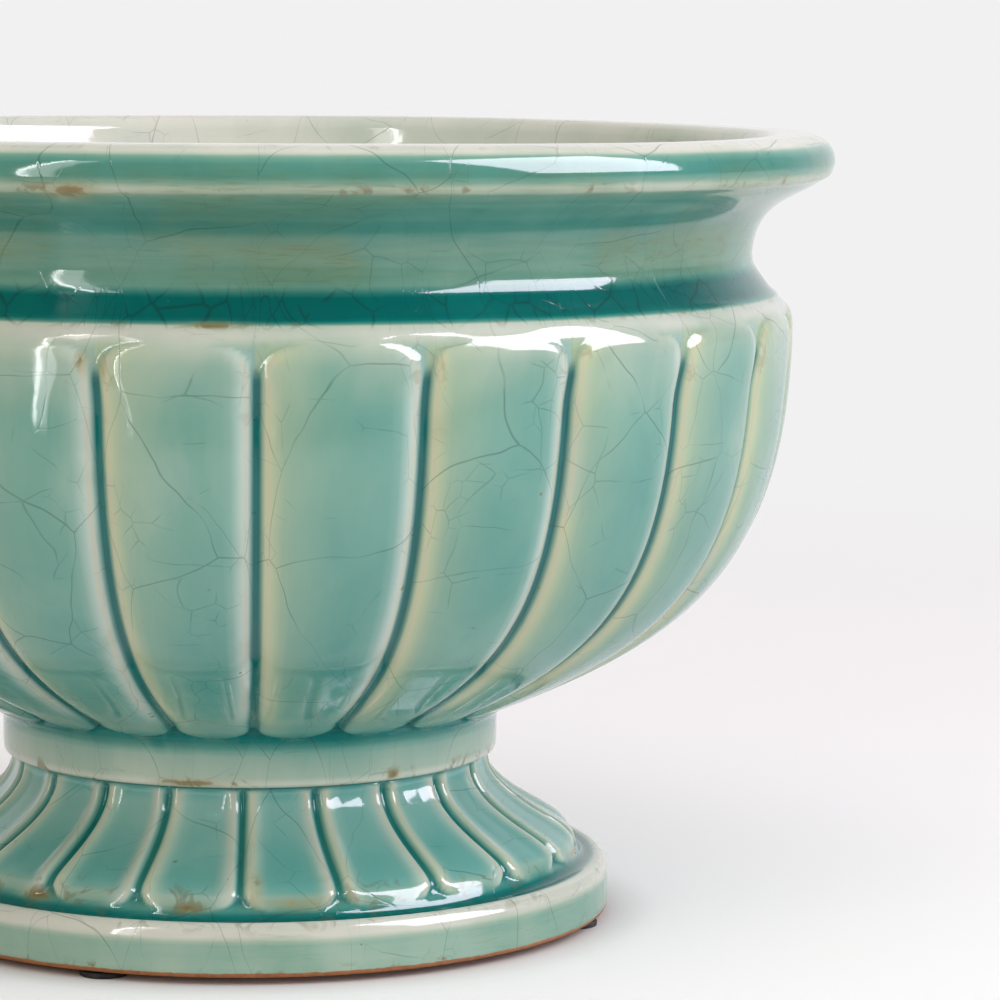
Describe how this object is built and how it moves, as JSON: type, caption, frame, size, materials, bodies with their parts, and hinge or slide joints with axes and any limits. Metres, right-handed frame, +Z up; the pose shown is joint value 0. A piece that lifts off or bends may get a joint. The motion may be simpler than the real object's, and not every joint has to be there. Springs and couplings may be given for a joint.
{
  "type": "jardiniere on stand",
  "caption": "Round fluted glazed bowl with a rolled rim and a foot ring that sits over a spigot on a low fluted stand with small rubber pads, for holding a potted plant.",
  "frame": {"origin": "centre of the whole object at table level, under the middle of the stand", "axes": "+Z up along the bowl's axis; -Y is the side the picture faces"},
  "size_m": [0.251, 0.2509, 0.17],
  "materials": {
    "glaze": "glossy crackled celadon glaze, dark teal where it pools",
    "pad_rubber": "black stick-on rubber pad"
  },
  "bodies": {
    "stand": {"stand": "glaze", "stand_pad_1": "pad_rubber", "stand_pad_2": "pad_rubber", "stand_pad_3": "pad_rubber", "stand_pad_4": "pad_rubber"},
    "bowl": {"bowl": "glaze"}
  },
  "joints": [
    {"name": "bowl_lift", "type": "slide", "parent": "stand", "child": "bowl", "axis": [0, 0, 1], "range_m": [0, 0.06]}
  ]
}
